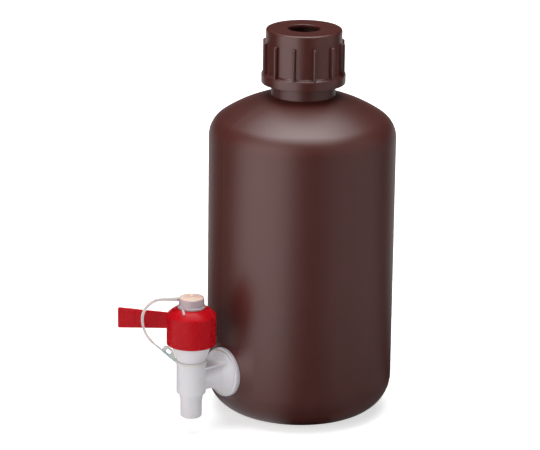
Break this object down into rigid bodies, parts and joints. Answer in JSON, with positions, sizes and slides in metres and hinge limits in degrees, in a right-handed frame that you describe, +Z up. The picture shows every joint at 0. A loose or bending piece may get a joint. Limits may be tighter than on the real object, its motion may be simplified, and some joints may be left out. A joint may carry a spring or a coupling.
{
  "type": "carboy with spigot",
  "caption": "Round blow-moulded carboy with a ribbed screw cap, a stopper and a lever spigot with a tethered outlet cap near its base",
  "frame": {"origin": "the middle of the foot ring, on the bottle's axis in the plane that it stands on", "axes": "+Z up along the bottle's axis to the screw cap, -Y out along the spigot's shank, +X to the right of someone facing the spigot"},
  "size_m": [0.166, 0.2568, 0.3497],
  "materials": {
    "bottle_plastic": "satin brown polyethylene",
    "cap_plastic": "satin brown polyethylene",
    "stopper_plastic": "satin dark polyethylene",
    "spigot_plastic": "smooth white polyethylene",
    "key_plastic": "smooth natural polypropylene",
    "lever_plastic": "smooth red polypropylene",
    "gasket_rubber": "soft pale silicone",
    "oring_rubber": "black rubber",
    "tether_plastic": "soft translucent polyethylene"
  },
  "bodies": {
    "vessel": {"bottle": "bottle_plastic", "spigot_body": "spigot_plastic", "flange_gasket": "gasket_rubber", "inner_washer": "gasket_rubber", "lock_nut": "spigot_plastic", "tether": "tether_plastic"},
    "stopper": {"neck_stopper": "stopper_plastic"},
    "cap": {"screw_cap": "cap_plastic"},
    "lever": {"lever_knob": "lever_plastic", "valve_key": "key_plastic", "stem_oring": "oring_rubber"},
    "outlet_cap": {"outlet_cap": "tether_plastic"}
  },
  "joints": [
    {"name": "cap_lift", "type": "slide", "parent": "vessel", "child": "stopper", "axis": [0, 0, 1], "range_m": [0, 0.012]},
    {"name": "cap_turn", "type": "hinge", "parent": "stopper", "child": "cap", "pos_m": [0, 0, 0.32], "axis": [0, 0, 1], "range_deg": [0, 720]},
    {"name": "lever_turn", "type": "hinge", "parent": "vessel", "child": "lever", "pos_m": [0, -0.1232, 0.1], "axis": [0, 0, 1], "range_deg": [-90, 0]},
    {"name": "outlet_cap_lift", "type": "slide", "parent": "vessel", "child": "outlet_cap", "axis": [0, 0, 1], "range_m": [0, 0.015], "deforming": ["tether"]}
  ],
  "couplings": [
    {"joint": "cap_lift", "follows": "cap_turn", "m_per_rad": 0.00095493}
  ]
}
